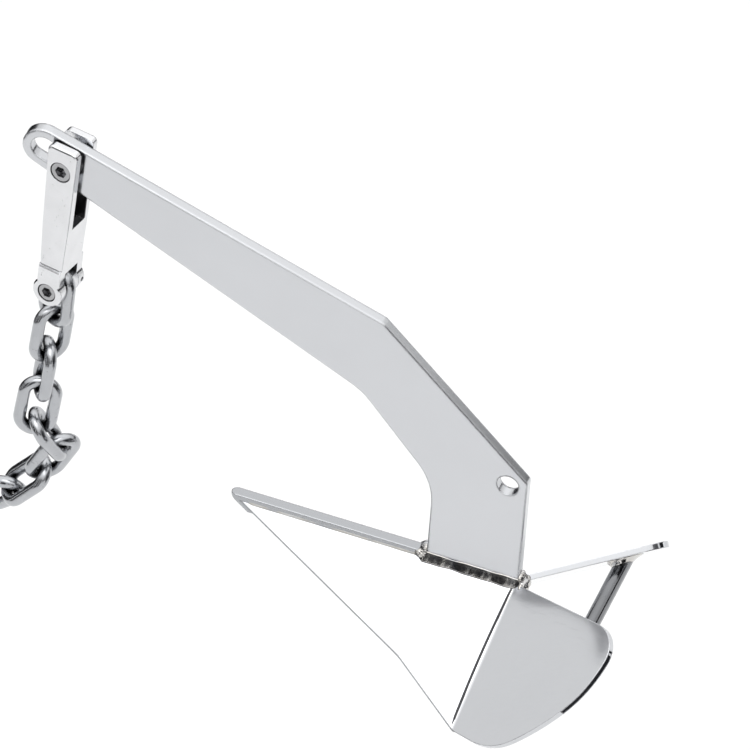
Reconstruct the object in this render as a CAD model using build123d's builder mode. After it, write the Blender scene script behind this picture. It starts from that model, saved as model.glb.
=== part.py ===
from build123d import *
import os
from math import acos, asin, cos, degrees, radians, sin, tan

# Fixed-shank delta anchor with a twin-fork connector and a run of chain, in millimetres.
# X points aft, Y to starboard and Z up. The origin is the centre of the trip-line hole in the
# heel of the shank, half way through the plate. The chain is the way the anchor is hung:
# the eye is up forward, and the toe of the fluke points forward.

# ---- driving dimensions ----
SHANK_PLATE = 10.0          # thickness of the shank and width of the spine bar
TRIP_HOLE = 18.0            # diameter of the trip-line hole at the origin
EYE = Vector(-379.7, 237.8)           # centre of the round end of the shank, in X and Z
EYE_RADIUS = 17.0
SLOT_WIDTH = 20.0           # the eye is a slot that lets the connector pin slide
SLOT_RUN = 24.0             # between the centres of the slot's round ends
SHOULDER = Vector(-101.6, 133.2)      # bend in the upper edge of the shank
HEEL = Vector(16.0, 4.9)              # top of the shank's rear edge
CROOK_UPPER = Vector(-119.7, 63.4)    # the two bends in the lower edge
CROOK_LOWER = Vector(-61.4, -12.6)
CROOK_RADIUS = 55.0
LEG_LEAN = 4.0              # degrees that the foot of the shank leans forward
EDGE_BREAK = 0.8            # chamfer along plate edges

TOE = Vector(-228.0, 0.0, -63.0)      # forward end of the spine, on its upper face
RIDGE_PITCH = 6.7           # degrees that the ridge falls towards the stern
SPINE_DEPTH = 14.0
SPINE_OVERHANG = 3.0        # of the spine bar behind the shank
TOE_BEVEL = 16.0            # length of the bevel under the toe

FLUKE_PLATE = 5.0
BLADE_START = 8.0           # from the toe to where the blade's edge leaves the spine
BLADE_DROP = 4.4            # from the spine's upper face down to the blade
BLADE_TILT = 39.8           # degrees that a blade slopes down from the ridge
BLADE_KINK = Vector(158.3, -81.5)     # along the ridge and out across the blade
FOLD_TOP = Vector(229.0, 0.0)
FOLD_BOTTOM = Vector(217.7, -125.3)
WING_LIFT = 30.7            # degrees that a wing is bent up from its blade
FOLD_RADIUS = 5.0           # inside the bend
# the ends of the arcs along the wing's edge: out from the fold, and down along it
WING_ROUND = [(116.5, -40), (95, -87.5), (61, -120.5), (23, -129.8)]
FOLD_LAP = 6.0              # how far each outline runs past the fold

BRACE_DIAMETER = 13.0
BRACE_PLACE = Vector(76.0, -101.5)    # X and Z of its axis

BRACE_REACH = 100.0         # bar stock each side of the middle before it is mitred
BRACE_WELD = 3.5            # leg of the weld round each end of the brace

BALLAST_START = 60.0        # along the ridge
BALLAST_END = 122.0
COVER_START = 45.0
COVER_PLATE = 3.0

CHEEK_GAP = 17.2            # connector fork that straddles the shank
CONNECTOR_THICK = 32.0
CHEEK_WIDTH = 27.0          # at the top; the cheeks narrow downwards
CROTCH_WIDTH = 23.6
CHEEK_ROUND = 2.2           # rounding along the cheeks' outer edges
CHEEK_RISE = 22.0           # of the cheeks above the anchor pin
CROTCH_DROP = 56.0          # from the anchor pin down to the bottom of the fork
PIN_SPACING = 119.0         # between the connector's two pins
CONNECTOR_LEAN = 5.5        # degrees forward of straight down
CONNECTOR_TWIST = 13.0      # degrees that the loose fork sits askew on the shank, after edge to port
WAIST_WIDTH = 20.0
EAR_DIAMETER = 26.0         # connector fork that takes the chain
EAR_THICK = 36.0
EAR_GAP = 18.0
EAR_CROTCH = 18.0           # from the chain pin up to the bottom of its fork
ANCHOR_PIN = 14.0
CHAIN_PIN = 10.0
ANCHOR_PIN_HEAD = 18.0
CHAIN_PIN_HEAD = 16.0
HEAD_DEPTH = 5.0            # of the counterbore that a pin's head is sunk in
HEAD_SUNK = 0.6             # of a pin's head below the cheek's face
SOCKET_SHARE = 0.5          # hexagon socket across its flats, of the head's diameter
SOCKET_DEPTH = 6.0
LOCK_SCREW = 4.0
PIN_FIT = 0.05              # radial clearance of a pin or screw in its hole

LINK_WIRE = 10.0
LINK_PITCH = 38.0           # inside length of a link
LINK_INNER = 15.0           # inside width of a link
LINK_CLEARANCE = 0.8        # between neighbouring links
# each link as (degrees forward of straight down, degrees to starboard, turn about its own length)
LINK_LIE = [
    (6, 0, 28),
    (9, 0, 134),
    (9, 0, 240),
    (10, 0, 344),
    (-16.7, 29.3, 429.4),
    (29.5, 5.2, 496.6),
    (43.6, 4.1, 599.4),
    (47.8, 15.7, 699.6),
]

# ---- derived places ----
ridge = Vector(cos(radians(RIDGE_PITCH)), 0, -sin(radians(RIDGE_PITCH)))
half_plate = SHANK_PLATE / 2


def tangent_point(point, centre, radius, side):
    """Where the straight line from a point touches a circle, on its left (1) or right (-1)."""
    reach = point - centre
    turn = side * degrees(acos(radius / reach.length))
    return centre + reach.normalized().rotate(Axis.Z, turn) * radius


def ridge_plane(along):
    """Plane across the ridge: local X is Y, and local Y is up from the spine's upper face."""
    return Plane(origin=TOE + ridge * along, x_dir=(0, 1, 0), z_dir=ridge)


def ridge_z(x):
    """Height of the spine's upper face at X."""
    return TOE.Z - (x - TOE.X) * tan(radians(RIDGE_PITCH))


def leg_x(corner, z):
    """X at height z on the leaning line through a corner of the leg."""
    return corner.X + (z - corner.Y) * tan(radians(LEG_LEAN))


foot_rear = Vector(leg_x(HEEL, -91.0), ridge_z(leg_x(HEEL, -91.0)))
foot_front = Vector(leg_x(CROOK_LOWER, -82.0), ridge_z(leg_x(CROOK_LOWER, -82.0)))
eye_top = tangent_point(SHOULDER, EYE, EYE_RADIUS, 1)
eye_low = tangent_point(CROOK_UPPER, EYE, EYE_RADIUS, -1)
arm = ((SHOULDER - eye_top).normalized() + (CROOK_UPPER - eye_low).normalized()).normalized()
slot_end = EYE + arm * SLOT_RUN

# the anchor pin rests askew on the bottom of the slot's lower end
twist = radians(CONNECTOR_TWIST)
pin_rest = SLOT_WIDTH / 2 - ANCHOR_PIN / 2 / cos(twist) - half_plate * tan(twist) - PIN_FIT
anchor_pin_centre = Vector(slot_end.X, 0, slot_end.Y - pin_rest)


# ---- shank ----
def corner(sketch, place):
    return sketch.vertices().sort_by_distance(place)[0]


with BuildPart() as shank:
    with BuildSketch(Plane.XZ) as shank_outline:
        with BuildLine():
            Polyline(eye_top, SHOULDER, HEEL, foot_rear, foot_front, CROOK_LOWER, CROOK_UPPER, eye_low)
            ThreePointArc(eye_low, EYE - arm * EYE_RADIUS, eye_top)
        make_face()
        fillet(corner(shank_outline, SHOULDER), 8)
        fillet(corner(shank_outline, HEEL), 4)
        fillet([corner(shank_outline, CROOK_LOWER), corner(shank_outline, CROOK_UPPER)], CROOK_RADIUS)
    extrude(amount=half_plate, both=True)
    chamfer(shank.faces().filter_by(Axis.Y).edges(), EDGE_BREAK)
    with BuildSketch(Plane.XZ):
        Circle(TRIP_HOLE / 2)
        with Locations(EYE + arm * (SLOT_RUN / 2)):
            SlotCenterToCenter(SLOT_RUN, SLOT_WIDTH, rotation=degrees(asin(arm.Y)))
    extrude(amount=SHANK_PLATE, both=True, mode=Mode.SUBTRACT)
shank.part.label = "shank"

# ---- spine bar: the backbone of the fluke, round-nosed and bevelled under the toe ----
spine_length = (foot_rear.X - TOE.X) / ridge.X + SPINE_OVERHANG
spine_side = Plane(origin=TOE, x_dir=ridge, z_dir=(0, -1, 0))
spine_top = Plane(origin=TOE, x_dir=ridge, z_dir=ridge.cross(Vector(0, 1, 0)))
with BuildPart() as spine_bar:
    with BuildSketch(spine_side):
        Polygon(
            (0, 0),
            (spine_length, 0),
            (spine_length, -SPINE_DEPTH),
            (TOE_BEVEL, -SPINE_DEPTH),
            (0, -2),
            align=None,
        )
    extrude(amount=half_plate, both=True)
    with BuildSketch(spine_top):
        with Locations((spine_length / 2, 0)):
            Rectangle(spine_length + SHANK_PLATE, SHANK_PLATE)
        with BuildLine():
            Polyline(
                (half_plate, half_plate),
                (-half_plate, half_plate),
                (-half_plate, -half_plate),
                (half_plate, -half_plate),
            )
            ThreePointArc((half_plate, -half_plate), (0, 0), (half_plate, half_plate))
        make_face(mode=Mode.SUBTRACT)
    extrude(amount=SPINE_DEPTH + 1, both=True, mode=Mode.INTERSECT)
    chamfer(spine_bar.faces().sort_by(Axis(TOE, spine_top.z_dir))[-1].edges(), 0.6)
spine_bar.part.label = "spine_bar"

# ---- flukes: one bent plate each side, a blade forward of the fold and a wing behind it ----
ridge_up = spine_top.z_dir
blade_start = TOE + ridge * BLADE_START - ridge_up * BLADE_DROP - Vector(0, half_plate, 0)
blade_normal = ridge_up.rotate(Axis((0, 0, 0), ridge), BLADE_TILT)
blade_plane = Plane(origin=blade_start, x_dir=ridge, z_dir=blade_normal)
fold_top = blade_plane.from_local_coords(FOLD_TOP)
fold_bottom = blade_plane.from_local_coords(FOLD_BOTTOM)
fold_line = (fold_bottom - fold_top).normalized()
wing_normal = blade_normal.rotate(Axis((0, 0, 0), fold_line), WING_LIFT)
wing_plane = Plane(origin=fold_top, x_dir=wing_normal.cross(fold_line), z_dir=wing_normal)
fold_length = (FOLD_BOTTOM - FOLD_TOP).length
across_fold = (FOLD_BOTTOM - FOLD_TOP).normalized().rotate(Axis.Z, 90)

# both outlines as upright prisms, each in its own plate's plane and lapped over the fold
with BuildPart() as fluke_outline:
    with BuildSketch(blade_plane) as blade_outline:
        Polygon(
            (-BLADE_START, 4),
            FOLD_TOP + Vector(0, 4),
            FOLD_TOP + across_fold * FOLD_LAP - Vector(0, 2),
            FOLD_BOTTOM + across_fold * FOLD_LAP,
            FOLD_BOTTOM,
            BLADE_KINK,
            (0, 0),
            (-BLADE_START, 0),
            align=None,
        )
        fillet(corner(blade_outline, BLADE_KINK), 60)
    extrude(amount=12, both=True)
    with BuildSketch(wing_plane):
        with BuildLine():
            upper_edge = Line((0, 0), (96, -12.3))
            edge = upper_edge
            for end in WING_ROUND + [(0, -fold_length)]:
                edge = TangentArc(edge @ 1, end, tangent=edge % 1)
            Polyline(
                edge @ 1,
                (-FOLD_LAP, -fold_length + 4.5),
                (-FOLD_LAP, -3),
                (0, 0),
            )
        make_face()
    extrude(amount=12, both=True)

# the bent sheet that the outlines are cut from, drawn across the fold
sheet_plane = Plane(origin=fold_bottom, x_dir=blade_normal.cross(fold_line), z_dir=fold_line)
bend = radians(WING_LIFT)
outer_corner = Vector(FLUKE_PLATE * tan(bend / 2), -FLUKE_PLATE)
wing_end = Vector(cos(bend), sin(bend)) * 150
wing_end_below = wing_end + Vector(sin(bend), -cos(bend)) * FLUKE_PLATE
with BuildPart() as left_fluke:
    with BuildSketch(sheet_plane) as sheet:
        Polygon(
            (-260, 0),
            (0, 0),
            wing_end,
            wing_end_below,
            outer_corner,
            (-260, -FLUKE_PLATE),
            align=None,
        )
        fillet(corner(sheet, (0, 0)), FOLD_RADIUS)
        fillet(corner(sheet, outer_corner), FOLD_RADIUS + FLUKE_PLATE)
    extrude(amount=300, both=True)
    add(fluke_outline.part, mode=Mode.INTERSECT)
    split(bisect_by=Plane.XZ.offset(half_plate), keep=Keep.TOP)
left_fluke.part.label = "left_fluke"

with BuildPart() as right_fluke:
    mirror(left_fluke.part, about=Plane.XZ)
right_fluke.part.label = "right_fluke"

# ---- toe ballast, and the folded cover that shuts it in under the toe ----
def inside_half(depth):
    """Half width between the blades' lower faces at a depth below the spine's upper face."""
    tilt = radians(BLADE_TILT)
    return half_plate + (depth - BLADE_DROP - FLUKE_PLATE / cos(tilt)) / tan(tilt)


def cover_depth(along):
    """Depth of the cover's lower face, which follows the cutting edges aft."""
    return 5 + 0.27 * along


def wedge_section(along, depth):
    """A keystone across the ridge from the spine's lower face down to a depth."""
    top = SPINE_DEPTH + 0.2
    with BuildSketch(ridge_plane(along)) as section:
        Polygon(
            (-inside_half(top), -top),
            (inside_half(top), -top),
            (inside_half(depth), -depth),
            (-inside_half(depth), -depth),
            align=None,
        )
    return section.sketch


ballast_sections = [
    wedge_section(along, cover_depth(along) - COVER_PLATE) for along in (BALLAST_START, BALLAST_END)
]
cover_sections = [
    wedge_section(along, cover_depth(along)) for along in (COVER_START, BALLAST_END + COVER_PLATE)
]
with BuildPart() as toe_ballast:
    loft(ballast_sections)
toe_ballast.part.label = "toe_ballast"

with BuildPart() as toe_cover:
    loft(cover_sections)
    add(toe_ballast.part, mode=Mode.SUBTRACT)
toe_cover.part.label = "toe_cover"

# ---- cross brace: a round bar under the wings, mitred to their lower faces ----
def under_wing(side, gap=0.0):
    """Plane that faces down along the lower face of the port (-1) or starboard (1) wing."""
    normal = Vector(wing_normal.X, -side * wing_normal.Y, wing_normal.Z)
    corner_place = Vector(fold_top.X, -side * fold_top.Y, fold_top.Z)
    return Plane(origin=corner_place - normal * (FLUKE_PLATE + gap), z_dir=-normal)


with BuildPart() as cross_brace:
    with BuildSketch(Plane.XZ):
        with Locations(BRACE_PLACE):
            Circle(BRACE_DIAMETER / 2)
    extrude(amount=BRACE_REACH, both=True)
    for side in (-1, 1):
        split(bisect_by=under_wing(side), keep=Keep.TOP)
cross_brace.part.label = "cross_brace"

def make_brace_collar(side):
    """The weld round one end of the brace, mitred to the wing's lower face."""
    with BuildPart() as collar:
        with BuildSketch(Plane.XZ):
            with Locations(BRACE_PLACE):
                Circle(BRACE_DIAMETER / 2 + BRACE_WELD)
        extrude(amount=BRACE_REACH, both=True)
        split(bisect_by=under_wing(side), keep=Keep.TOP)
        split(bisect_by=under_wing(side, BRACE_WELD), keep=Keep.BOTTOM)
        add(cross_brace.part, mode=Mode.SUBTRACT)
    return collar.part


brace_collars = [make_brace_collar(side) for side in (-1, 1)]
with BuildPart() as brace_welds:
    add(brace_collars)
brace_welds.part.label = "brace_welds"

# ---- connector body: a wide fork for the shank above, a narrower one for the chain below ----
lean = radians(CONNECTOR_LEAN)
hang = Vector(-sin(lean), 0, -cos(lean))
pin_direction = Vector(0, 1, 0).rotate(Axis((0, 0, 0), hang), CONNECTOR_TWIST)
side_plane = Plane(origin=anchor_pin_centre, x_dir=hang.cross(pin_direction), z_dir=-pin_direction)
pin_line = Axis(anchor_pin_centre, pin_direction)
chain_pin_centre = anchor_pin_centre + hang * PIN_SPACING


def lock_plane(centre, gap, thick):
    """Plane in the middle of a fork's starboard cheek, with Z from its after edge to the pin."""
    return Plane(origin=centre + pin_direction * (gap + thick) / 4, z_dir=-side_plane.x_dir)


with BuildPart() as connector_body:
    with BuildSketch(side_plane) as body_side:
        Polygon(
            (-CHEEK_WIDTH / 2, CHEEK_RISE),
            (CHEEK_WIDTH / 2, CHEEK_RISE),
            (CROTCH_WIDTH / 2, -CROTCH_DROP),
            (WAIST_WIDTH / 2, -PIN_SPACING + 22),
            (-WAIST_WIDTH / 2, -PIN_SPACING + 22),
            (-CROTCH_WIDTH / 2, -CROTCH_DROP),
            align=None,
        )
        fillet(body_side.vertices().group_by(Axis.Y)[-1], 5)
    extrude(amount=CONNECTOR_THICK / 2, both=True)
    fillet(connector_body.faces().filter_by(pin_line).edges(), CHEEK_ROUND)
    with BuildSketch(side_plane) as ear_side:
        with Locations((0, -PIN_SPACING)):
            Circle(EAR_DIAMETER / 2)
        with Locations((0, -PIN_SPACING + 13)):
            Rectangle(WAIST_WIDTH, 22)
    extrude(amount=EAR_THICK / 2, both=True)
    ear_faces = connector_body.faces().filter_by(pin_line).group_by(pin_line)
    chamfer(ShapeList(ear_faces[0] + ear_faces[-1]).edges(), 1.2)
    with BuildSketch(side_plane):
        with Locations((0, (CHEEK_RISE - CROTCH_DROP) / 2 + 5)):
            Rectangle(CHEEK_WIDTH * 2, CHEEK_RISE + CROTCH_DROP + 10)
    extrude(amount=CHEEK_GAP / 2, both=True, mode=Mode.SUBTRACT)
    with BuildSketch(side_plane):
        with Locations((0, EAR_CROTCH - PIN_SPACING)):
            Rectangle(EAR_DIAMETER * 2, PIN_SPACING, align=(Align.CENTER, Align.MAX))
    extrude(amount=EAR_GAP / 2, both=True, mode=Mode.SUBTRACT)
    for centre, pin, head, gap, thick in (
        (anchor_pin_centre, ANCHOR_PIN, ANCHOR_PIN_HEAD, CHEEK_GAP, CONNECTOR_THICK),
        (chain_pin_centre, CHAIN_PIN, CHAIN_PIN_HEAD, EAR_GAP, EAR_THICK),
    ):
        with Locations(Plane(origin=centre - pin_direction * thick / 2, z_dir=-pin_direction)):
            CounterBoreHole(pin / 2 + PIN_FIT, head / 2 + PIN_FIT, HEAD_DEPTH)
        with Locations(lock_plane(centre, gap, thick)):
            Hole(LOCK_SCREW / 2 + PIN_FIT, depth=20)
connector_body.part.label = "connector_body"


# ---- pins: socket-headed, each held from turning by a grub screw in the starboard cheek ----
def make_pin(centre, diameter, head, thick, tail, label):
    """A pin across the connector, its head sunk in the port cheek."""
    outer_face = Plane(origin=centre - pin_direction * thick / 2, z_dir=pin_direction)
    on_axis = (Align.CENTER, Align.CENTER, Align.MIN)
    with BuildPart(outer_face) as pin:
        with Locations((0, 0, HEAD_SUNK)):
            Cylinder(head / 2, HEAD_DEPTH - HEAD_SUNK, align=on_axis)
            Cylinder(diameter / 2, thick + tail - HEAD_SUNK, align=on_axis)
        chamfer(pin.faces().sort_by(pin_line)[-1].edges(), 1.0)
        chamfer(pin.faces().sort_by(pin_line)[0].edges(), 0.8)
        with BuildSketch(outer_face):
            RegularPolygon(head * SOCKET_SHARE / 2, 6, major_radius=False)
        extrude(amount=SOCKET_DEPTH, mode=Mode.SUBTRACT)
    pin.part.label = label
    return pin.part


def make_lock_screw(place, pin_diameter, half_width, label):
    """A grub screw from just inside the cheek's after edge to the pin."""
    start = half_width - 1
    on_axis = (Align.CENTER, Align.CENTER, Align.MIN)
    with BuildPart(place) as screw:
        with Locations((0, 0, -start)):
            Cylinder(LOCK_SCREW / 2, start - pin_diameter / 2 - 0.1, align=on_axis)
    screw.part.label = label
    return screw.part


anchor_pin = make_pin(anchor_pin_centre, ANCHOR_PIN, ANCHOR_PIN_HEAD, CONNECTOR_THICK, 0, "anchor_pin")
chain_pin = make_pin(chain_pin_centre, CHAIN_PIN, CHAIN_PIN_HEAD, EAR_THICK, 2, "chain_pin")
anchor_pin_lock = make_lock_screw(
    lock_plane(anchor_pin_centre, CHEEK_GAP, CONNECTOR_THICK),
    ANCHOR_PIN,
    CHEEK_WIDTH / 2,
    "anchor_pin_lock_screw",
)
chain_pin_lock = make_lock_screw(
    lock_plane(chain_pin_centre, EAR_GAP, EAR_THICK),
    CHAIN_PIN,
    EAR_DIAMETER / 2,
    "chain_pin_lock_screw",
)


# ---- chain: each link hangs in the one above, a little apart from it ----
crown = (LINK_INNER + LINK_WIRE) / 2            # radius of a link's end, on the wire's centre line
link_length = LINK_PITCH + LINK_WIRE + LINK_CLEARANCE    # on the wire's centre line


def link_direction(forward, starboard):
    """Unit vector down a link that leans forward and to starboard by these degrees."""
    forward, starboard = radians(forward), radians(starboard)
    return Vector(
        -sin(forward) * cos(starboard),
        sin(starboard),
        -cos(forward) * cos(starboard),
    )


def make_link(top, down, across, label):
    """One link, from the centre of the wire at its top."""
    leg = link_length - 2 * crown
    face = Plane(origin=top + down * crown, x_dir=across, z_dir=across.cross(down * -1))
    with BuildPart() as link:
        with BuildLine(face) as wire:
            ThreePointArc((-crown, 0), (0, crown), (crown, 0))
            Line((crown, 0), (crown, -leg))
            ThreePointArc((crown, -leg), (0, -leg - crown), (-crown, -leg))
            Line((-crown, -leg), (-crown, 0))
        with BuildSketch(Plane(origin=top, z_dir=across)):
            Circle(LINK_WIRE / 2)
        sweep(path=wire.wires()[0])
    link.part.label = label
    return link.part


links = []
link_hinges = []                    # where each link hangs, and the direction it hinges about
held_wire = pin_direction           # direction of the wire or pin that the next link hangs on
held_point = chain_pin_centre
for number, (forward, starboard, turn) in enumerate(LINK_LIE, start=1):
    down = link_direction(forward, starboard)
    across = Vector(0, 1, 0).cross(down).normalized().rotate(Axis((0, 0, 0), down), turn)
    link_hinges.append((held_point, held_wire))
    pull = held_wire.cross(across).normalized()
    pull = pull if pull.dot(down) > 0 else -pull
    top = held_point - pull * (LINK_WIRE + LINK_CLEARANCE)
    links.append(make_link(top, down, across, f"chain_link_{number}"))
    held_point = top + down * link_length
    held_wire = across


# ---- weld beads ----
def fillet_bead(along_start, along_end, height, reach):
    """Two prisms along the ridge that fill the corner between an upright face and each blade."""
    length = along_end - along_start
    drop = BLADE_DROP + reach * tan(radians(BLADE_TILT))
    with BuildSketch(ridge_plane(along_start)) as section:
        for side in (-1, 1):
            Polygon(
                (side * half_plate, height),
                (side * (half_plate + reach), -drop),
                (side * half_plate, -BLADE_DROP),
                align=None,
            )
    return extrude(section.sketch, length)


foot_start = (foot_front - Vector(TOE.X, TOE.Z)).X / ridge.X
foot_end = spine_length - SPINE_OVERHANG
ridge_bead = fillet_bead(BLADE_START + 8, foot_start - 6, -2.6, 1.8)
foot_bead = fillet_bead(foot_start - 6, spine_length + 3, 1.5, 4.5)
with BuildPart() as ridge_welds:
    add(ridge_bead)
ridge_welds.part.label = "ridge_welds"

with BuildPart() as foot_weld:
    add(foot_bead)
    for place, run in ((foot_front, -7), (foot_rear, 5)):
        lean_up = Vector(sin(radians(LEG_LEAN)), cos(radians(LEG_LEAN))) * 7
        with BuildSketch(Plane.XZ):
            Polygon(place, place + lean_up, place + Vector(run, -run * tan(radians(RIDGE_PITCH))), align=None)
        extrude(amount=half_plate + 1, both=True)
    for neighbour in (left_fluke, right_fluke, shank, spine_bar):
        add(neighbour.part, mode=Mode.SUBTRACT)
foot_weld.part.label = "shank_foot_weld"


pieces = [
    shank.part, spine_bar.part, left_fluke.part, right_fluke.part, toe_ballast.part, toe_cover.part,
    cross_brace.part, brace_welds.part, connector_body.part, anchor_pin, chain_pin, anchor_pin_lock,
    chain_pin_lock, ridge_welds.part, foot_weld.part,
] + links
os.makedirs("parts", exist_ok=True)
for piece in pieces:
    print(piece.label, len(piece.solids()), round(piece.volume), piece.is_valid)
    export_step(piece, f"parts/{piece.label}.step")
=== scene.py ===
import math
import random

import bmesh
import bpy
from mathutils import Matrix, Vector, noise


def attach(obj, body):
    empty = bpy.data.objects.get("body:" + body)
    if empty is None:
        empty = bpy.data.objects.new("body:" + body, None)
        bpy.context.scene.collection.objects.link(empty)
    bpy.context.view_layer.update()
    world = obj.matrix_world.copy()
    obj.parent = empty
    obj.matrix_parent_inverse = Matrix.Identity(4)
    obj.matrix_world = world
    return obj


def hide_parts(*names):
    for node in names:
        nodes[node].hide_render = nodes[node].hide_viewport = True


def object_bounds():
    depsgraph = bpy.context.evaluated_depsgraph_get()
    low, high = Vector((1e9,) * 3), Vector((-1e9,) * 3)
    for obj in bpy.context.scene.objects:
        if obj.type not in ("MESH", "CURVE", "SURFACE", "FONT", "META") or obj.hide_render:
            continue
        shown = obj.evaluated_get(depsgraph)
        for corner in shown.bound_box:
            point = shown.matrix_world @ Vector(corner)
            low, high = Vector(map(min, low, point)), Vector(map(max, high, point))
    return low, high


# Looks of a plough anchor: polished stainless steel in a plain bright studio, in metres.
# The CAD solids keep their shapes and get materials. The weld beads and the seams along the folds are
# built here, from the same angles and places as the CAD's plates.

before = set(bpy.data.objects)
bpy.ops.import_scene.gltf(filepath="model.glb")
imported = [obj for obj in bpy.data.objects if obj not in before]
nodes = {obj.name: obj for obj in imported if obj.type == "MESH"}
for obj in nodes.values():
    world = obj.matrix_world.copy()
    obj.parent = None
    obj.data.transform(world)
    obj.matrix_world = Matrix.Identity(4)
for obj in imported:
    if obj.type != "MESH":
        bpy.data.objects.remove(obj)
cad_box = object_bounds()
scene = bpy.context.scene

PORT = -1
STARBOARD = 1
LINKS = [f"chain_link_{number}" for number in range(1, 9)]
PINS = ["anchor_pin", "chain_pin", "anchor_pin_lock_screw", "chain_pin_lock_screw"]

# ---- camera: a long lens, so that the view is almost parallel ----
VIEW_AZIMUTH = math.radians(18.5)
VIEW_ELEVATION = math.radians(37.6)
VIEW_WIDTH = 0.586                      # of the frame at the object
VIEW_CENTRE = Vector((-0.1395, 0.0874, 0.0071))
LENS = 1000.0
SENSOR = 36.0


def make_camera():
    back = Vector((
        math.sin(VIEW_AZIMUTH) * math.cos(VIEW_ELEVATION),
        -math.cos(VIEW_AZIMUTH) * math.cos(VIEW_ELEVATION),
        math.sin(VIEW_ELEVATION),
    ))
    data = bpy.data.cameras.new("camera")
    data.lens = LENS
    data.sensor_width = SENSOR
    data.clip_end = 100.0
    camera = bpy.data.objects.new("camera", data)
    scene.collection.objects.link(camera)
    camera.location = VIEW_CENTRE + back * (VIEW_WIDTH * LENS / SENSOR)
    camera.rotation_mode = "QUATERNION"
    camera.rotation_quaternion = (-back).to_track_quat("-Z", "Y")
    scene.camera = camera


# ---- the anchor's plates: where their faces and edges are ----
TOE = Vector((-0.228, 0.0, -0.063))     # forward end of the spine, on its upper face
RIDGE_PITCH = math.radians(6.7)
RIDGE = Vector((math.cos(RIDGE_PITCH), 0, -math.sin(RIDGE_PITCH)))
RIDGE_UP = Vector((math.sin(RIDGE_PITCH), 0, math.cos(RIDGE_PITCH)))
HALF_PLATE = 0.005                      # of the shank and the spine
FLUKE_PLATE = 0.005
BLADE_DROP = 0.0044
BLADE_TILT = math.radians(39.8)
WING_LIFT = math.radians(30.7)
BLADE_ORIGIN = 0.008                    # along the ridge from the toe
# places on a blade, along the ridge and out across the blade
FOLD_TOP = (0.229, 0.0)
FOLD_BOTTOM = (0.2177, 0.1253)
CUTTING_EDGE = [(0.0, 0.0), (0.1583, 0.0815), FOLD_BOTTOM]

ARM_SLOPE = 30.0                        # degrees that the arm falls towards the stern
LEG_LEAN = math.radians(4.0)
UP_LEG = Vector((math.sin(LEG_LEAN), 0, math.cos(LEG_LEAN)))
FOOT_FRONT = 0.1629                     # of the shank, along the ridge
FOOT_REAR = 0.2389
BRACE_PLACE = Vector((0.076, 0, -0.1015))       # half way along its centre line
BRACE_RADIUS = 0.0065

CONNECTOR_PIN = (-0.35838, 0.0, 0.22518)
CONNECTOR_TWIST = math.radians(13.0)
FORK_HALF_GAP = 0.0088
FORK_DEPTH = 0.0564                     # below the pin


def outward(side):
    """Unit vector down across the port or starboard blade."""
    return Vector((0, side * math.cos(BLADE_TILT), 0)) - RIDGE_UP * math.sin(BLADE_TILT)


def blade_normal(side):
    return RIDGE_UP * math.cos(BLADE_TILT) + Vector((0, side * math.sin(BLADE_TILT), 0))


def blade_corner(along, side):
    """Where a blade's upper face meets the side of the spine."""
    return TOE + RIDGE * along - RIDGE_UP * BLADE_DROP + Vector((0, side * HALF_PLATE, 0))


def on_blade(place, side):
    along, out = place
    return blade_corner(BLADE_ORIGIN + along, side) + outward(side) * out


def fold_direction(side):
    """Unit vector down along the fold between a blade and its wing."""
    return (on_blade(FOLD_BOTTOM, side) - on_blade(FOLD_TOP, side)).normalized()


def wing_normal(side):
    """Normal of a wing's upper face."""
    return Matrix.Rotation(-side * WING_LIFT, 3, fold_direction(side)) @ blade_normal(side)


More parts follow.
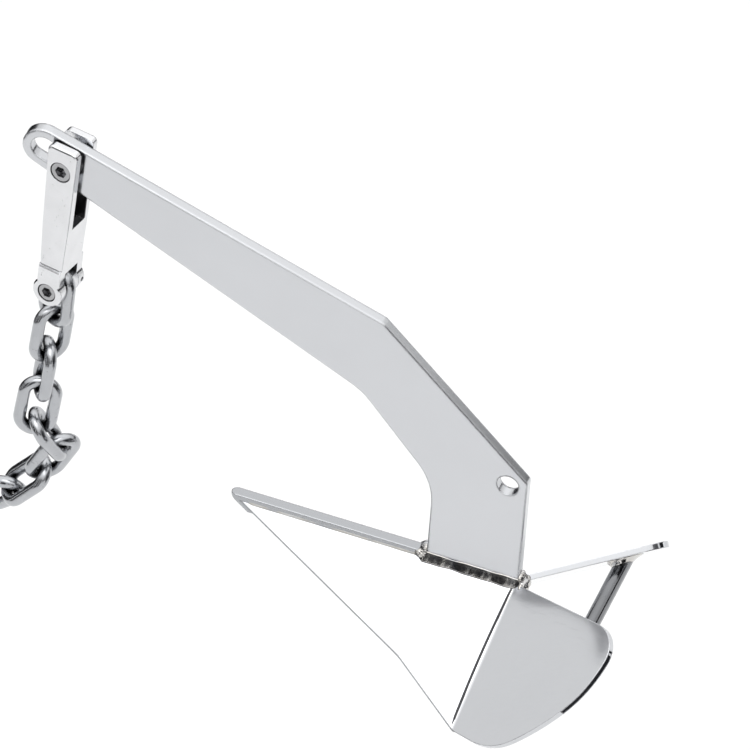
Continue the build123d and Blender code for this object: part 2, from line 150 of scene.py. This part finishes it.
# ---- node helpers ----
class Nodes:
    """A material's node tree, with short calls for the nodes used here."""

    def __init__(self, name):
        self.material = bpy.data.materials.new(name)
        self.material.use_nodes = True
        self.tree = self.material.node_tree
        self.shader = self.tree.nodes["Principled BSDF"]
        self.place = self.add("ShaderNodeTexCoord").outputs["Object"]

    def add(self, kind, **values):
        node = self.tree.nodes.new(kind)
        for key, value in values.items():
            if key in node.inputs:
                node.inputs[key].default_value = value
            else:
                setattr(node, key, value)
        return node

    def link(self, output, target):
        self.tree.links.new(output, target)

    def set(self, **values):
        """Values that are the same all over the surface, on the shader's own sockets."""
        for key, value in values.items():
            self.shader.inputs[key.replace("_", " ")].default_value = value

    def stretched(self, scale, turn=(0, 0, 0)):
        """Object coordinates turned by angles in degrees and then scaled, for streaks."""
        turned = self.add("ShaderNodeMapping")
        turned.inputs["Rotation"].default_value = [math.radians(angle) for angle in turn]
        scaled = self.add("ShaderNodeMapping")
        scaled.inputs["Scale"].default_value = scale
        self.link(self.place, turned.inputs["Vector"])
        self.link(turned.outputs["Vector"], scaled.inputs["Vector"])
        return scaled.outputs["Vector"]

    def split(self, vector):
        node = self.add("ShaderNodeSeparateXYZ")
        self.link(vector, node.inputs["Vector"])
        return [node.outputs[axis] for axis in "XYZ"]

    def noise(self, vector, scale, detail=4.0, roughness=0.5):
        node = self.add("ShaderNodeTexNoise", Scale=scale, Detail=detail, Roughness=roughness)
        self.link(vector, node.inputs["Vector"])
        return node.outputs["Fac"]

    def remap(self, value, low, high, from_low=0.3, from_high=0.7):
        """A value's usual range, which is a noise's unless given, brought to another range."""
        node = self.add("ShaderNodeMapRange")
        node.inputs["From Min"].default_value = from_low
        node.inputs["From Max"].default_value = from_high
        node.inputs["To Min"].default_value = low
        node.inputs["To Max"].default_value = high
        self.link(value, node.inputs["Value"])
        return node.outputs["Result"]

    def maths(self, operation, first, second=0):
        node = self.add("ShaderNodeMath", operation=operation)
        for socket, value in zip(node.inputs, (first, second)):
            if isinstance(value, (int, float)):
                socket.default_value = value
            else:
                self.link(value, socket)
        return node.outputs["Value"]

    def shade(self, value, dark, light):
        """A colour between two greys, chosen by a value from 0 to 1."""
        ramp = self.add("ShaderNodeValToRGB")
        ramp.color_ramp.elements[0].color = (*dark, 1)
        ramp.color_ramp.elements[1].color = (*light, 1)
        self.link(value, ramp.inputs["Fac"])
        return ramp.outputs["Color"]

    def bump(self, height, distance, strength=1.0, edge=0.0):
        """Relief from a height, over edges rounded to a radius in metres."""
        node = self.add("ShaderNodeBump", Strength=strength, Distance=distance)
        self.link(height, node.inputs["Height"])
        if edge > 0:
            rounded = self.add("ShaderNodeBevel", Radius=edge, samples=6)
            self.link(rounded.outputs["Normal"], node.inputs["Normal"])
        self.link(node.outputs["Normal"], self.shader.inputs["Normal"])

    def recessed(self, reach):
        """1 deep in gaps and corners, 0 in the open."""
        node = self.add("ShaderNodeAmbientOcclusion", Distance=reach, samples=8)
        return self.remap(node.outputs["AO"], 1.0, 0.0, 0.3, 0.75)

    def mix(self, factor, first, second):
        """First colour where the factor is 0, second colour, a tuple, where it is 1."""
        node = self.add("ShaderNodeMix", data_type="RGBA")
        first_colour, second_colour = node.inputs[6], node.inputs[7]
        self.link(factor, node.inputs["Factor"])
        self.link(first, first_colour)
        second_colour.default_value = (*second, 1)
        return node.outputs[2]


# ---- masks: where a CAD part gets painted shade and a rougher finish ----
EDGE_SHADE_STRIP = 0.0012                   # width of the strip of painted shade along a cutting edge


def inside_forks(n):
    """1 on the connector's faces that look into its forks, where they get painted shade, from where they
    are.
    """
    turned = n.add("ShaderNodeVectorRotate", rotation_type="AXIS_ANGLE")
    turned.inputs["Center"].default_value = CONNECTOR_PIN
    turned.inputs["Axis"].default_value = (0, 0, 1)
    turned.inputs["Angle"].default_value = CONNECTOR_TWIST
    n.link(n.place, turned.inputs["Vector"])
    _, across, height = n.split(turned.outputs["Vector"])
    off_centre = n.maths("ABSOLUTE", n.maths("SUBTRACT", across, CONNECTOR_PIN[1]))
    between = n.maths("LESS_THAN", off_centre, FORK_HALF_GAP)
    drop = n.maths("SUBTRACT", CONNECTOR_PIN[2], height)
    above = n.maths("LESS_THAN", drop, FORK_DEPTH)
    return n.maths("MULTIPLY", between, above)


def shaded_edges(n):
    """1 in the strip of painted shade, which is also rougher, along each blade's cutting edge, from
    where it is.
    """
    x, y, z = n.split(n.place)
    mirrored = n.add("ShaderNodeCombineXYZ")
    n.link(x, mirrored.inputs["X"])
    n.link(n.maths("ABSOLUTE", y), mirrored.inputs["Y"])
    n.link(z, mirrored.inputs["Z"])
    depths = []
    for start, end in zip(CUTTING_EDGE, CUTTING_EDGE[1:]):
        run = (Vector(end) - Vector(start)).normalized()
        inward = RIDGE * run.y - outward(STARBOARD) * run.x
        dot = n.add("ShaderNodeVectorMath", operation="DOT_PRODUCT")
        n.link(mirrored.outputs["Vector"], dot.inputs[0])
        dot.inputs[1].default_value = inward
        at_edge = on_blade(start, STARBOARD).dot(inward)
        depths.append(n.maths("SUBTRACT", dot.outputs["Value"], at_edge))
    return n.maths("LESS_THAN", n.maths("MAXIMUM", depths[0], depths[1]), EDGE_SHADE_STRIP)


# ---- materials ----
STEEL = (0.60, 0.61, 0.63)
SPINE_STEEL = (0.40, 0.41, 0.425)
FLUKE_STEEL = (0.61, 0.62, 0.64)
FORGED_STEEL = (0.76, 0.765, 0.78)
# painted shade: the bar's steel is a far darker grey than the other steel, standing in for the dark
# reflections along the bar
SHADED_BAR_STEEL = (0.23, 0.235, 0.245)
PIN_STEEL = (0.42, 0.42, 0.43)
CHAIN_STEEL = (0.47, 0.48, 0.5)
EDGE_SHADE_STEEL = (0.30, 0.305, 0.315)     # painted shade: darker grey along a cutting edge, for the edge's own shading
FORK_SHADE = (0.05, 0.05, 0.053)       # painted shade: near black on the faces inside the connector's forks
RECESS_SHADE = (0.07, 0.07, 0.075)      # painted shade: the dark colour that gaps and corners are darkened towards


def toned(grey, factor):
    return tuple(min(1.0, c * factor) for c in grey)


def polished_plate(name, grey, roughness, turn, haze=0.05, edge=0.0008, relief=0.000008, ground=None):
    """Polished plate: faint polishing streaks, cloudy haze and a few fine scratches."""
    n = Nodes(name)
    streaks = n.noise(n.stretched((12, 260, 12), turn), 9.0, 6.0, 0.6)
    clouds = n.noise(n.place, 16.0, 5.0, 0.6)
    scratch_place = n.stretched((5, 900, 30), (turn[0], turn[1] + 12, turn[2] + 8))
    scratches = n.noise(scratch_place, 4.0, 2.0, 0.4)
    fine_scratches = n.remap(scratches, 0.0, 1.0, 0.66, 0.74)
    rough = n.remap(clouds, roughness, roughness + haze)
    rough = n.maths("ADD", rough, n.remap(streaks, 0.0, haze * 0.6))
    rough = n.maths("ADD", rough, n.maths("MULTIPLY", fine_scratches, 0.08))
    cloudy = n.maths("ADD", n.maths("MULTIPLY", clouds, 0.7), n.maths("MULTIPLY", streaks, 0.3))
    colour = n.shade(cloudy, toned(grey, 0.93), toned(grey, 1.05))
    if ground:
        # painted shade: a darker grey strip along each cutting edge, which is also rougher
        mask = ground(n)
        colour = n.mix(mask, colour, EDGE_SHADE_STEEL)
        rough = n.maths("ADD", rough, n.maths("MULTIPLY", mask, 0.3))
    n.link(rough, n.shader.inputs["Roughness"])
    n.link(colour, n.shader.inputs["Base Color"])
    height = n.maths("SUBTRACT", streaks, n.maths("MULTIPLY", fine_scratches, 0.6))
    n.bump(height, relief, edge=edge)
    n.set(Metallic=1.0)
    return n.material


def polished_round(name, grey, roughness, dents=0.00006, edge=0.0, inside=None, recess_shade_reach=0.0):
    """Tumbled and polished round stock: hammered unevenness, darker in its small pits."""
    n = Nodes(name)
    swells = n.noise(n.place, 70.0, 3.0, 0.5)
    grain = n.noise(n.place, 600.0, 4.0, 0.6)
    pits = n.remap(n.noise(n.place, 330.0, 2.0, 0.5), 1.0, 0.0, 0.27, 0.35)
    rough = n.remap(grain, roughness, roughness + 0.08)
    rough = n.maths("ADD", rough, n.maths("MULTIPLY", pits, 0.2))
    tone = n.maths("SUBTRACT", swells, n.maths("MULTIPLY", pits, 0.4))
    colour = n.shade(tone, toned(grey, 0.86), toned(grey, 1.04))
    if recess_shade_reach > 0:
        # painted shade: the colour is darkened in gaps and corners, found by ambient occlusion
        colour = n.mix(n.recessed(recess_shade_reach), colour, RECESS_SHADE)
    if inside:
        # painted shade: the faces inside the forks are coloured near black
        mask = inside(n)
        colour = n.mix(mask, colour, FORK_SHADE)
        rough = n.maths("ADD", rough, n.maths("MULTIPLY", mask, 0.15))
    n.link(rough, n.shader.inputs["Roughness"])
    n.link(colour, n.shader.inputs["Base Color"])
    height = n.maths("ADD", swells, n.maths("MULTIPLY", grain, 0.12))
    n.bump(n.maths("SUBTRACT", height, n.maths("MULTIPLY", pits, 0.3)), dents, edge=edge)
    n.set(Metallic=1.0)
    return n.material


def weld_metal(name, roughness):
    """Polished weld bead, with a trace of straw and blue heat tint."""
    n = Nodes(name)
    ripple = n.noise(n.place, 380.0, 4.0, 0.6)
    tint = n.noise(n.place, 60.0, 3.0, 0.5)
    ramp = n.add("ShaderNodeValToRGB")
    blue, white = ramp.color_ramp.elements
    blue.position = 0.3
    blue.color = (0.46, 0.47, 0.50, 1)
    white.position = 0.7
    white.color = (0.66, 0.66, 0.66, 1)
    straw = ramp.color_ramp.elements.new(0.5)
    straw.color = (0.58, 0.56, 0.53, 1)
    n.link(tint, ramp.inputs["Fac"])
    n.link(ramp.outputs["Color"], n.shader.inputs["Base Color"])
    n.link(n.remap(ripple, roughness, roughness + 0.12), n.shader.inputs["Roughness"])
    n.bump(ripple, 0.0001)
    n.set(Metallic=1.0)
    return n.material


def crease_shade_line(name):
    """Painted shade: a near black line that stands in for the dark line of shade along a crease."""
    n = Nodes(name)
    grain = n.noise(n.place, 500.0, 5.0, 0.6)
    n.link(n.shade(grain, (0.02, 0.02, 0.022), (0.09, 0.09, 0.095)), n.shader.inputs["Base Color"])
    n.link(n.remap(grain, 0.3, 0.5), n.shader.inputs["Roughness"])
    n.bump(grain, 0.0001)
    n.set(Metallic=0.7)
    return n.material


def cast_ballast(name):
    n = Nodes(name)
    grain = n.noise(n.place, 420.0, 6.0, 0.7)
    n.link(n.shade(grain, (0.10, 0.10, 0.10), (0.20, 0.20, 0.21)), n.shader.inputs["Base Color"])
    n.link(n.remap(grain, 0.55, 0.8), n.shader.inputs["Roughness"])
    n.bump(grain, 0.0003)
    n.set(Metallic=0.6)
    return n.material


def floor_paint(name):
    n = Nodes(name)
    mottle = n.noise(n.place, 3.0, 4.0, 0.5)
    n.link(n.shade(mottle, (0.93, 0.93, 0.93), (0.95, 0.95, 0.95)), n.shader.inputs["Base Color"])
    n.link(n.remap(mottle, 0.75, 0.85), n.shader.inputs["Roughness"])
    n.bump(n.noise(n.place, 300.0), 0.0001, 0.3)
    n.set(Specular_IOR_Level=0.2)
    return n.material


def dark_flag(name):
    """Black cloth for reflections, greyer higher up."""
    n = Nodes(name)
    mottle = n.noise(n.place, 1.5)
    height = n.remap(n.split(n.place)[2], 0.0, 1.0, 0.6, 2.4)
    colour = n.shade(height, (0.025, 0.025, 0.028), (0.25, 0.25, 0.26))
    n.link(colour, n.shader.inputs["Base Color"])
    n.link(n.remap(mottle, 0.85, 0.95), n.shader.inputs["Roughness"])
    n.set(Specular_IOR_Level=0.0)
    return n.material


def grey_paper(name):
    n = Nodes(name)
    mottle = n.noise(n.place, 4.0)
    n.link(n.shade(mottle, (0.42, 0.42, 0.43), (0.5, 0.5, 0.51)), n.shader.inputs["Base Color"])
    n.link(n.remap(mottle, 0.8, 0.9), n.shader.inputs["Roughness"])
    return n.material


def dress(names, material):
    for name in names:
        mesh = nodes[name].data
        mesh.materials.clear()
        mesh.materials.append(material)


def dress_cad():
    """Materials for the CAD parts."""
    plate = polished_plate("polished_shank", STEEL, 0.13, (0, ARM_SLOPE, 0), edge=0.0028)
    spine = polished_plate("polished_spine", SPINE_STEEL, 0.14, (0, 7, 0))
    blade = polished_plate(
        "polished_fluke", FLUKE_STEEL, 0.04, (35, 0, 20),
        haze=0.03, edge=0.0012, relief=0.000003, ground=shaded_edges,
    )
    forged = polished_round(
        "polished_forging", FORGED_STEEL, 0.12,
        dents=0.00002, edge=0.0006, inside=inside_forks, recess_shade_reach=0.003,
    )
    bar = polished_round("polished_bar", SHADED_BAR_STEEL, 0.1)
    pin = polished_round("polished_pin", PIN_STEEL, 0.1, dents=0.00001, edge=0.0003, recess_shade_reach=0.004)
    chain = polished_round("polished_chain", CHAIN_STEEL, 0.16, recess_shade_reach=0.008)
    dress(["shank"], plate)
    dress(["spine_bar", "toe_cover"], spine)
    dress(["left_fluke", "right_fluke"], blade)
    dress(["toe_ballast"], cast_ballast("cast_ballast"))
    dress(["cross_brace"], bar)
    dress(["connector_body"], forged)
    dress(PINS, pin)
    dress(LINKS, chain)


# ---- mesh helpers ----
def smooth_object(name, shape, material, body):
    """A smooth piece on a body, from a bmesh: weld metal, and the crease lines of painted shade."""
    bmesh.ops.recalc_face_normals(shape, faces=shape.faces)
    mesh = bpy.data.meshes.new(name)
    for face in shape.faces:
        face.smooth = True
    shape.to_mesh(mesh)
    shape.free()
    mesh.materials.append(material)
    piece = bpy.data.objects.new(name, mesh)
    scene.collection.objects.link(piece)
    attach(piece, body)
    return piece


def add_face(shape, corners):
    shape.faces.new([shape.verts.new(corner) for corner in corners])


def join_rings(shape, rings, closed):
    """Faces between neighbouring rings of points, with the ends shut unless the run is closed."""
    verts = [[shape.verts.new(point) for point in ring] for ring in rings]
    count = len(verts[0])
    pairs = list(zip(verts, verts[1:]))
    if closed:
        pairs.append((verts[-1], verts[0]))
    for first, second in pairs:
        for k in range(count):
            after = (k + 1) % count
            shape.faces.new((first[k], first[after], second[after], second[k]))
    if not closed:
        shape.faces.new(verts[0])
        shape.faces.new(verts[-1])


def add_lump(shape, centre, radii, roughness, seed):
    """A blob of weld metal: rounded, uneven, and larger one way than another."""
    made = bmesh.ops.create_icosphere(shape, subdivisions=4, radius=1.0)
    offset = Vector((seed * 3.7, seed * 1.3, seed * 2.1))
    unevenness = roughness / min(radii)
    for vertex in made["verts"]:
        direction = vertex.co.normalized()
        swell = 1 + unevenness * noise.noise(direction * 2.4 + offset)
        swell += 0.3 * unevenness * noise.noise(direction * 7 + offset)
        vertex.co = centre + Vector([direction[k] * radii[k] * swell for k in range(3)])


def add_tube(shape, start, end, aside, normal, radius, bow):
    """A fine round seam between two points, bowed aside and thinner at its ends."""
    stations = 48
    turns = [step * math.pi / 6 for step in range(12)]
    rings = []
    for station in range(stations + 1):
        share = station / stations
        here = radius * min(1.0, 0.35 + 9 * min(share + 0.04, 1 - share))
        centre = start.lerp(end, share) + aside * bow * math.sin(math.pi * share)
        rings.append([
            centre + (aside * math.cos(turn) + normal * math.sin(turn)) * here for turn in turns
        ])
    join_rings(shape, rings, False)


# ---- weld beads: the ridge, foot and brace beads are rippled, and each hides its CAD prism ----
BEAD_STEPS = 8                          # across a bead, from one face to the other
BEAD_ROOT = 0.0004                      # how far a bead's root is sunk behind its corner
BEAD_WAVER = 0.025                      # slow change of a bead's size, as a share of it
BEAD_END = 0.003                        # length over which an open bead's end tapers
FOOT_LAP = 0.005                        # of the foot's beads past the shank's edges
SEAM_RADIUS = 0.0019
LINE_RADIUS = 0.0012


def slow_waver(seed):
    """A function of the share along a bead: its size there, slowly rising and falling."""
    draw = random.Random(seed)
    waves = [(draw.uniform(0.5, 1.5), draw.uniform(0, 6.28), cycles) for cycles in (1, 2, 3, 5)]

    def size_at(share):
        swing = sum(size * math.sin(6.2832 * cycles * share + lag) for size, lag, cycles in waves)
        return 1 + BEAD_WAVER * swing

    return size_at


def weld_run(shape, corner_at, length, legs, ripple, pitch, closed=False, bulge=0.8, seed=1):
    """A bead in the corner of two faces.

    corner_at(share) gives the corner and a direction along each face. A bulge of 1 is round, 0 is
    flat and less is hollow. Ripples of a height follow each other at a pitch.
    """
    size_at = slow_waver(seed)
    count = max(8, int(length / pitch * 8))
    rings = []
    for station in range(count if closed else count + 1):
        share = station / count
        corner, up, out = corner_at(share)
        to_end = min(share, 1 - share) * length
        taper = 1.0 if closed else min(1.0, 0.55 + 0.45 * to_end / BEAD_END)
        waver = size_at(share)
        ring = [corner - (up + out) * BEAD_ROOT]
        for step in range(BEAD_STEPS + 1):
            turn = math.radians(step * 90 / BEAD_STEPS)
            round_point = up * legs[0] * math.cos(turn) + out * legs[1] * math.sin(turn)
            flat_point = up * legs[0] * (1 - step / BEAD_STEPS) + out * legs[1] * step / BEAD_STEPS
            point = (round_point * bulge + flat_point * (1 - bulge)) * taper * waver
            phase = share * length / pitch - 0.35 * math.sin(2 * turn)
            crest = ripple * abs(math.sin(math.pi * phase)) * math.sin(2 * turn)
            ring.append(corner + point + point.normalized() * crest)
        rings.append(ring)
    join_rings(shape, rings, closed)


def straight_corner(start, end, up, out):
    return lambda share: (start.lerp(end, share), up, out)


def spine_corner(start, end, side):
    """The corner between the side of the spine and a blade, between two places along the ridge."""
    return straight_corner(blade_corner(start, side), blade_corner(end, side), RIDGE_UP, outward(side))


def make_ridge_welds(material):
    """Small beads along both sides of the spine, forward of the shank."""
    shape = bmesh.new()
    start, end = BLADE_ORIGIN + 0.008, FOOT_FRONT - FOOT_LAP
    for side in (PORT, STARBOARD):
        weld_run(
            shape, spine_corner(start, end, side), end - start, legs=(0.0008, 0.0013),
            ripple=0.00004, pitch=0.0035, bulge=0.3, seed=5 + side,
        )
    piece = smooth_object("ridge_weld_beads", shape, material, "anchor")
    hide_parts("ridge_welds")


def make_foot_weld(material):
    """The broad beads round the foot of the shank, with lumps where they start and stop."""
    shape = bmesh.new()
    start, end = FOOT_FRONT - FOOT_LAP, FOOT_REAR + FOOT_LAP
    for side in (PORT, STARBOARD):
        weld_run(
            shape, spine_corner(start, end, side), end - start, legs=(0.0056, 0.0048),
            ripple=0.00006, pitch=0.0065, bulge=0.22, seed=11 + side,
        )
    for along, toward, leg in ((FOOT_FRONT, -1, 0.0065), (FOOT_REAR, 1, 0.0042)):
        middle = TOE + RIDGE * along
        across = Vector((0, HALF_PLATE + 0.0008, 0))
        corner_at = straight_corner(middle - across, middle + across, UP_LEG, RIDGE * toward)
        weld_run(
            shape, corner_at, 2 * across.y, legs=(leg, leg),
            ripple=0.0004, pitch=0.0032, bulge=0.75, seed=21 + toward,
        )
    rear = TOE + RIDGE * (FOOT_REAR + 0.0035) - RIDGE_UP * 0.006
    add_lump(shape, rear, (0.0052, 0.0092, 0.0062), 0.0009, 31)
    for side in (PORT, STARBOARD):
        front = blade_corner(FOOT_FRONT - 0.004, side) + RIDGE_UP * 0.0015
        add_lump(shape, front, (0.0052, 0.0026, 0.0042), 0.0006, 41 + side)
    piece = smooth_object("shank_foot_bead", shape, material, "anchor")
    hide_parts("shank_foot_weld")


def brace_corner(side):
    """The line round the brace at a wing's lower face, as a function of the share round."""
    normal = wing_normal(side)
    place = on_blade(FOLD_TOP, side) - normal * FLUKE_PLATE

    def corner_at(share):
        turn = share * 2 * math.pi
        radial = Vector((math.cos(turn), 0, math.sin(turn)))
        corner = BRACE_PLACE + radial * BRACE_RADIUS
        aside = corner - place
        corner.y = place.y - (aside.x * normal.x + aside.z * normal.z) / normal.y
        across = radial - normal * radial.dot(normal)
        return corner, Vector((0, -side, 0)), across.normalized()

    return corner_at


def make_brace_welds(material):
    """Beads round both ends of the brace, where it is mitred to the wings' lower faces."""
    shape = bmesh.new()
    length = 2 * math.pi * (BRACE_RADIUS + 0.002)
    for side in (PORT, STARBOARD):
        corner_at = brace_corner(side)
        weld_run(
            shape, corner_at, length, legs=(0.0085, 0.0060),
            ripple=0.0002, pitch=0.0036, closed=True, bulge=-0.45, seed=51 + side,
        )
        start, up, out = corner_at(0.45)
        add_lump(shape, start + up * 0.0025 + out * 0.0015, (0.0042, 0.0034, 0.0036), 0.0009, 61 + side)
    piece = smooth_object("brace_weld_beads", shape, material, "anchor")
    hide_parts("brace_welds")


def forward(vector):
    return vector if vector.x < 0 else -vector


def make_fold_beads(material, dark):
    """The dressed seam in each fold's crease, with a line of painted shade along its forward side."""
    seams, lines = bmesh.new(), bmesh.new()
    for side in (PORT, STARBOARD):
        top, bottom = on_blade(FOLD_TOP, side), on_blade(FOLD_BOTTOM, side)
        fold = fold_direction(side)
        normal = wing_normal(side)
        aside = forward(normal.cross(fold).normalized())
        blade_up = blade_normal(side)
        blade_aside = forward(fold.cross(blade_up))
        start, end = top.lerp(bottom, 0.03), top.lerp(bottom, 0.985)
        seam_place = aside * 0.0006 - normal * SEAM_RADIUS * 0.62
        add_tube(seams, start + seam_place, end + seam_place, aside, normal, SEAM_RADIUS, 0.0012)
        line_place = blade_aside * 0.0014 - blade_up * LINE_RADIUS * 0.5
        add_tube(
            lines, start + line_place, end + line_place, blade_aside, blade_up, LINE_RADIUS, 0.0014,
        )
    smooth_object("fold_seams", seams, material, "anchor")
    smooth_object("fold_crease_lines", lines, dark, "anchor")


def make_welds():
    polished_weld = weld_metal("weld_bead", 0.08)
    make_ridge_welds(weld_metal("dressed_weld", 0.5))
    make_foot_weld(polished_weld)
    make_brace_welds(polished_weld)
    make_fold_beads(polished_weld, crease_shade_line("crease_shade_line"))


# ---- studio: a white floor and sky, with dark and grey panels that only reflections see ----
FLOOR_DROP = 0.6                        # from the chain's end down to the floor
FLOOR_HEIGHT = cad_box[0].z - FLOOR_DROP
FLOOR_HALF = 12.0
PANEL_HEIGHT = FLOOR_HEIGHT + 0.01      # of the panels that lie on the floor

WALL_RADIUS = 4.0
SECTORS = 60
SECTOR = 360 / SECTORS                  # degrees
# dark panels, as (degrees round from +X, where they start on the floor, degrees they rise)
SURROUNDINGS = [
    (0, 1.3, 30), (18, 1.4, 28), (24, 1.5, 12), (56, 2.0, 12), (62, 2.1, 25), (100, 2.1, 24),
    (135, 2.0, 18), (160, 2.0, 15), (200, 2.2, 15), (230, 2.8, 24), (255, 2.8, 30),
    (270, 2.8, 17), (300, 2.4, 17), (330, 1.5, 32), (360, 1.3, 30),
]
BRIGHT_SLITS = (3, 12, 14, 17, 31, 35, 40, 45, 48, 52)      # sectors with no panels
OPEN_FLOORS = ((30, 120), (260, 320))   # degrees round where only the walls have panels
OPEN_WALL_FOOT = VIEW_CENTRE.z - 0.1    # where the walls' panels start there
# a dark strip on the floor that the rim of the port wing shows, as pairs of places
RIM_FLAG = [
    ((0.44, -0.20), (0.44, -0.34)), ((0.85, -0.14), (0.85, -0.34)), ((1.35, 0.08), (1.35, -0.30)),
]

CARD_DIRECTION = Vector((-0.875, -0.006, 0.484))
CARD_DISTANCE = 0.6
# from the top of the fold: out along the wing, and down along the fold
CARD_OUTLINE = [
    (-0.002, -0.02), (0.004, 0.008), (0.020, 0.0172), (0.031, 0.0172), (0.061, 0.013),
    (0.095, 0.017), (0.108, 0.026), (0.125, 0.05), (0.135, -0.02),
]

# how light the sky is, by degrees above the horizon
SKY_BANDS = [
    (-90, 0.6), (0, 0.6), (20, 0.45), (30, 0.46), (36, 0.6), (45, 0.64), (60, 0.69), (89, 0.71),
]
SKY_STRENGTH = 2.13


def add_staged(name, shape, material):
    mesh = bpy.data.meshes.new(name)
    shape.to_mesh(mesh)
    shape.free()
    mesh.materials.append(material)
    piece = bpy.data.objects.new(name, mesh)
    scene.collection.objects.link(piece)
    return piece


def make_floor():
    shape = bmesh.new()
    bmesh.ops.create_grid(shape, x_segments=12, y_segments=12, size=FLOOR_HALF)
    for vertex in shape.verts:
        vertex.co.z = FLOOR_HEIGHT
    add_staged("floor", shape, floor_paint("studio_floor"))


def panels_at(turn):
    """Start of the floor's panels and rise of the walls' at an angle, between the listed ones."""
    for (start, near, low), (end, far, high) in zip(SURROUNDINGS, SURROUNDINGS[1:]):
        if start <= turn <= end:
            share = (turn - start) / (end - start)
            return near + (far - near) * share, low + (high - low) * share
    raise ValueError(turn)


def add_sector(walls, ground, sector):
    """One sector's panels, on the wall and, unless the floor is open there, on the floor."""
    open_floor = any(start <= sector * SECTOR < end for start, end in OPEN_FLOORS)
    foot = OPEN_WALL_FOOT if open_floor else PANEL_HEIGHT
    wall, strip = [], []
    for turn in (sector * SECTOR, (sector + 1) * SECTOR):
        start, rise = panels_at(turn)
        toward = Vector((math.cos(math.radians(turn)), math.sin(math.radians(turn)), 0))
        top = VIEW_CENTRE.z + WALL_RADIUS * math.tan(math.radians(rise))
        far = VIEW_CENTRE + toward * WALL_RADIUS
        near = VIEW_CENTRE + toward * start
        wall.append([(far.x, far.y, foot), (far.x, far.y, top)])
        strip.append([(near.x, near.y, PANEL_HEIGHT), (far.x, far.y, PANEL_HEIGHT)])
    add_face(walls, wall[0] + wall[1][::-1])
    if not open_floor:
        add_face(ground, strip[0] + strip[1][::-1])


def make_surroundings():
    """Dark panels low on the walls and far out on the floor."""
    walls, ground = bmesh.new(), bmesh.new()
    for sector in range(SECTORS):
        if sector not in BRIGHT_SLITS:
            add_sector(walls, ground, sector)
    for near_pair, far_pair in zip(RIM_FLAG, RIM_FLAG[1:]):
        corners = near_pair + far_pair[::-1]
        add_face(ground, [(x, y, PANEL_HEIGHT) for x, y in corners])
    cloth = dark_flag("dark_flag")
    for name, shape in (("wall_flags", walls), ("floor_flags", ground)):
        flags = add_staged(name, shape, cloth)
        flags.visible_camera = False
        flags.visible_transmission = False
        if name == "floor_flags":
            flags.visible_diffuse = False
            flags.visible_shadow = False


def make_wing_card():
    """A grey card up to the left, which the port wing shows as a darker band along its upper edge."""
    place, fold = on_blade(FOLD_TOP, PORT), fold_direction(PORT)
    aft = wing_normal(PORT).cross(fold)
    origin = place + CARD_DIRECTION * CARD_DISTANCE
    shape = bmesh.new()
    add_face(shape, [origin + aft * out + fold * down for out, down in CARD_OUTLINE])
    card = add_staged("grey_card", shape, grey_paper("grey_card"))
    card.visible_camera = False
    card.visible_shadow = False
    card.visible_diffuse = False


def make_sky():
    """A white sky in bands, which are the studio's walls and its brighter ceiling."""
    world = bpy.data.worlds.new("studio")
    scene.world = world
    world.use_nodes = True
    tree = world.node_tree
    background = tree.nodes["Background"]
    place = tree.nodes.new("ShaderNodeTexCoord")
    split = tree.nodes.new("ShaderNodeSeparateXYZ")
    half = tree.nodes.new("ShaderNodeMapRange")
    ramp = tree.nodes.new("ShaderNodeValToRGB")
    half.inputs["From Min"].default_value = -1.0
    tree.links.new(place.outputs["Generated"], split.inputs["Vector"])
    tree.links.new(split.outputs["Z"], half.inputs["Value"])
    tree.links.new(half.outputs["Result"], ramp.inputs["Fac"])
    tree.links.new(ramp.outputs["Color"], background.inputs["Color"])
    bands = ramp.color_ramp
    for elevation, light in SKY_BANDS:
        element = bands.elements.new((1 + math.sin(math.radians(elevation))) / 2)
        element.color = (light, light, light, 1)
    bands.elements.remove(bands.elements[0])
    bands.elements.remove(bands.elements[-1])
    background.inputs["Strength"].default_value = SKY_STRENGTH


def softbox(name, direction, distance, size, power):
    """A rectangular area light that shines on the object from a direction."""
    data = bpy.data.lights.new(name, "AREA")
    data.shape = "RECTANGLE"
    data.size, data.size_y = size
    data.energy = power
    light = bpy.data.objects.new(name, data)
    scene.collection.objects.link(light)
    toward = Vector(direction).normalized()
    light.location = VIEW_CENTRE + toward * distance
    light.rotation_mode = "QUATERNION"
    light.rotation_quaternion = toward.to_track_quat("Z", "Y")
    light.visible_camera = False


def make_studio():
    make_floor()
    make_surroundings()
    make_wing_card()
    make_sky()
    softbox("key", direction=(-0.08, -0.49, 0.87), distance=2.2, size=(1.7, 1.5), power=9)
    scene.view_settings.view_transform = "Standard"


make_camera()
dress_cad()
make_welds()
make_studio()

bpy.context.view_layer.update()
